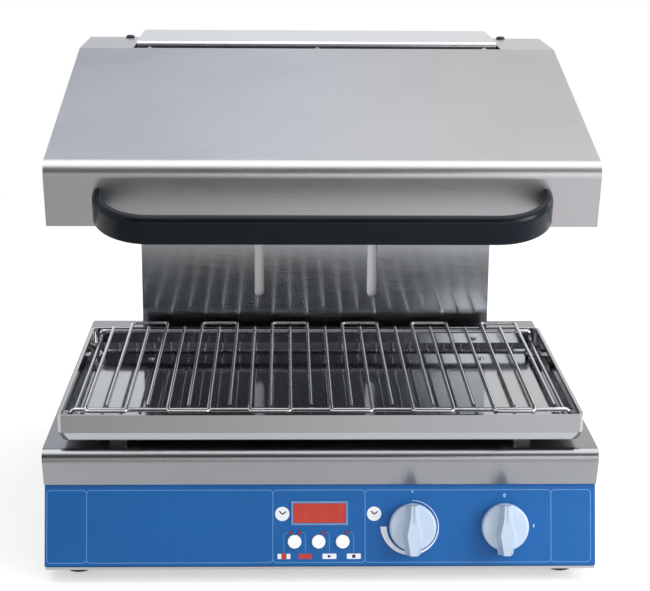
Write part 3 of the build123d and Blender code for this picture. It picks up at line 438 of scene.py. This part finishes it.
def draw_dark(mesh):
    """Clock hands, and the triangle and square on the white plates."""
    for x in CLOCKS:
        hub = (x, CLOCK_HEIGHT - CLOCK_HUB_DROP)
        ink_path(mesh, [(x + LEFT_HAND[0], CLOCK_HEIGHT + LEFT_HAND[1]), hub], HAND_LINE, 2 * INK)
        ink_path(mesh, [hub, (x + RIGHT_HAND[0], CLOCK_HEIGHT + RIGHT_HAND[1])], HAND_LINE, 2 * INK)
    middle = (SYMBOL_LOW + SYMBOL_HIGH) / 2
    x = SYMBOLS[2]
    back = x - TRIANGLE_BACK
    triangle = [(back, middle - TRIANGLE_HALF), (x + TRIANGLE_FRONT, middle), (back, middle + TRIANGLE_HALF)]
    ink_prism(mesh, triangle, 2 * INK)
    x = SYMBOLS[3]
    low, high = middle - SQUARE_HALF, middle + SQUARE_HALF
    ink_prism(mesh, rounded_box(x - SQUARE_HALF, x + SQUARE_HALF, low, high, 0.3, 2), 2 * INK)


printed("panel_print_lines", draw_lines, painted("ink_light_blue", (0.1, 0.26, 0.56), 0.45))
printed("panel_print_white", draw_white, painted("ink_white", (0.8, 0.83, 0.88), 0.45))
printed("panel_print_red", draw_red, painted("ink_red", (0.5, 0.04, 0.03), 0.45))
printed("panel_print_dark", draw_dark, painted("ink_dark", (0.012, 0.014, 0.02), 0.45))


# Stage: a pale floor and a white surround, with dark flags that only show in the metal

def seen_ray(tree):
    """1 for rays that show the background: from the camera, or off or through the object."""
    path = tree.nodes.new("ShaderNodeLightPath")
    both = add(tree, path.outputs["Is Camera Ray"], path.outputs["Is Glossy Ray"])
    node = tree.nodes.new("ShaderNodeMath")
    node.operation = "ADD"
    node.use_clamp = True
    tree.links.new(both, node.inputs[0])
    tree.links.new(path.outputs["Is Transmission Ray"], node.inputs[1])
    return node.outputs["Value"]


def plane(name, width, depth, place, turn=(0, 0, 0)):
    """A flat rectangle on the stage."""
    half = Vector((width / 2, depth / 2))
    corners = [(-half.x, -half.y, 0), (half.x, -half.y, 0), (half.x, half.y, 0), (-half.x, half.y, 0)]
    data = bpy.data.meshes.new(name)
    data.from_pydata(corners, [], [(0, 1, 2, 3)])
    piece = bpy.data.objects.new(name, data)
    piece.location = place
    piece.rotation_euler = turn
    scene.collection.objects.link(piece)
    return piece


FLOOR_SIZE = 3.2
FLOOR_PLACE = (0, 0.2, -0.0002)
FLOOR_GLOW = 0.4
WORLD_LIGHT, WORLD_SEEN = 0.5, 1.0

floor = plane("floor", FLOOR_SIZE, FLOOR_SIZE, FLOOR_PLACE)
made, tree, shader = new_material("floor_white")
paper = noise(tree, (60, 60, 60), detail=3.0)
tone = blend_colours(tree, spread(tree, paper, 0, 1), (0.78,) * 3, (0.8,) * 3)
tree.links.new(tone, shader.inputs["Base Color"])
shader.inputs["Roughness"].default_value = 0.9
shader.inputs["Specular IOR Level"].default_value = 0.1
shader.inputs["Emission Color"].default_value = (1, 1, 1, 1)
scale = tree.nodes.new("ShaderNodeMath")
scale.operation = "MULTIPLY"
scale.inputs[1].default_value = FLOOR_GLOW
tree.links.new(seen_ray(tree), scale.inputs[0])
tree.links.new(scale.outputs["Value"], shader.inputs["Emission Strength"])
floor.data.materials.append(made)

world = bpy.data.worlds.new("studio")
scene.world = world
world.use_nodes = True
tree = world.node_tree
background = tree.nodes["Background"]
background.inputs["Color"].default_value = (1, 1, 1, 1)
level = tree.nodes.new("ShaderNodeMapRange")
level.inputs["To Min"].default_value = WORLD_LIGHT
level.inputs["To Max"].default_value = WORLD_SEEN
tree.links.new(seen_ray(tree), level.inputs["Value"])
tree.links.new(level.outputs["Result"], background.inputs["Strength"])


def card(name, width, depth, place, turn, tones):
    """A card that only reflections see, with tones at places along X."""
    piece = plane(name, width, depth, place, turn)
    made, tree, shader = new_material(name)
    coords = tree.nodes.new("ShaderNodeTexCoord")
    axes = tree.nodes.new("ShaderNodeSeparateXYZ")
    tree.links.new(coords.outputs["Object"], axes.inputs["Vector"])
    across = tree.nodes.new("ShaderNodeMapRange")
    first, last = tones[0][0], tones[-1][0]
    across.inputs["From Min"].default_value = first
    across.inputs["From Max"].default_value = last
    tree.links.new(axes.outputs["X"], across.inputs["Value"])
    ramp = tree.nodes.new("ShaderNodeValToRGB")
    ramp.color_ramp.interpolation = "EASE"
    steps = ramp.color_ramp.elements
    for x, _ in tones[1:-1]:
        steps.new((x - first) / (last - first))
    for step, (_, colour) in zip(steps, tones):
        step.color = (*colour, 1.0)
    tree.links.new(across.outputs["Result"], ramp.inputs["Fac"])
    tree.links.new(ramp.outputs["Color"], shader.inputs["Emission Color"])
    shader.inputs["Emission Strength"].default_value = 1.0
    shader.inputs["Base Color"].default_value = (0, 0, 0, 1)
    shader.inputs["Specular IOR Level"].default_value = 0.0
    piece.data.materials.append(made)
    piece.visible_camera = False
    piece.visible_diffuse = False
    piece.visible_shadow = False
    piece.visible_transmission = False
    return piece


UPRIGHT = (math.radians(90), 0, 0)
LYING = (0, 0, 0)
DARK = (0.09, 0.09, 0.095)
FLAG_TONES = [(-1, DARK), (1, DARK)]
STRIP_TONES = [(-0.9, (1.0, 1.0, 1.0)), (0.3, (2.6, 2.6, 2.6))]
TABLE_TONES = [(-0.45, (0.62, 0.585, 0.565)), (0.45, (1.05, 1.02, 1.04))]
BACK_TONES = [(-0.7, (0.55, 0.59, 0.69)), (0.0, (0.81, 0.86, 0.935)), (0.8, (0.877, 0.825, 0.815))]
card("front_flag", 6.0, 3.4, (0, -3.0, 2.2), UPRIGHT, FLAG_TONES)
card("front_strip", 6.0, 0.5, (0, -3.2, 0.25), UPRIGHT, STRIP_TONES)
card("front_table", 6.0, 2.84, (0, -1.78, 0.002), LYING, TABLE_TONES)
card("back_card", 8.0, 3.2, (0, 3.0, 2.9), UPRIGHT, BACK_TONES)


def softbox(name, width, depth, place, target, radiance, colour=(1, 1, 1)):
    """A soft rectangular lamp of even radiance."""
    data = bpy.data.lights.new(name, "AREA")
    data.shape = "RECTANGLE"
    data.size, data.size_y = width, depth
    data.energy = radiance * math.pi * width * depth
    data.color = colour
    lamp = bpy.data.objects.new(name, data)
    lamp.location = place
    lamp.rotation_euler = (Vector(target) - Vector(place)).to_track_quat("-Z", "Y").to_euler()
    lamp.visible_camera = False
    scene.collection.objects.link(lamp)
    return lamp


softbox("ceiling", 3.0, 2.4, (0.2, 0.0, 2.3), (0.2, 0.0, 0.0), 1.5)
softbox("right_key", 1.0, 1.2, (1.9, -1.2, 0.9), (0, -0.1, 0.2), 9.0)
softbox("front_right", 1.4, 0.55, (1.05, -2.3, 0.9), (0, -0.2, 0.3), 2.2)

# Camera at the photograph's viewing angle

CAMERA_PLACE = Vector((-0.0396, -1.919, 0.7769))
CAMERA_PITCH = math.radians(15.047)
CAMERA_TURN = math.radians(-1.427)
CAMERA_ROLL = math.radians(0.4125)
CAMERA_LENS, CAMERA_SENSOR = 92.806, 36.0

eye = bpy.data.cameras.new("camera")
eye.lens = CAMERA_LENS
eye.sensor_width = CAMERA_SENSOR
camera = bpy.data.objects.new("camera", eye)
aim = Euler((math.pi / 2 - CAMERA_PITCH, 0, CAMERA_TURN)).to_matrix() @ Matrix.Rotation(CAMERA_ROLL, 3, "Z")
camera.matrix_world = Matrix.Translation(CAMERA_PLACE) @ aim.to_4x4()
scene.collection.objects.link(camera)
scene.camera = camera
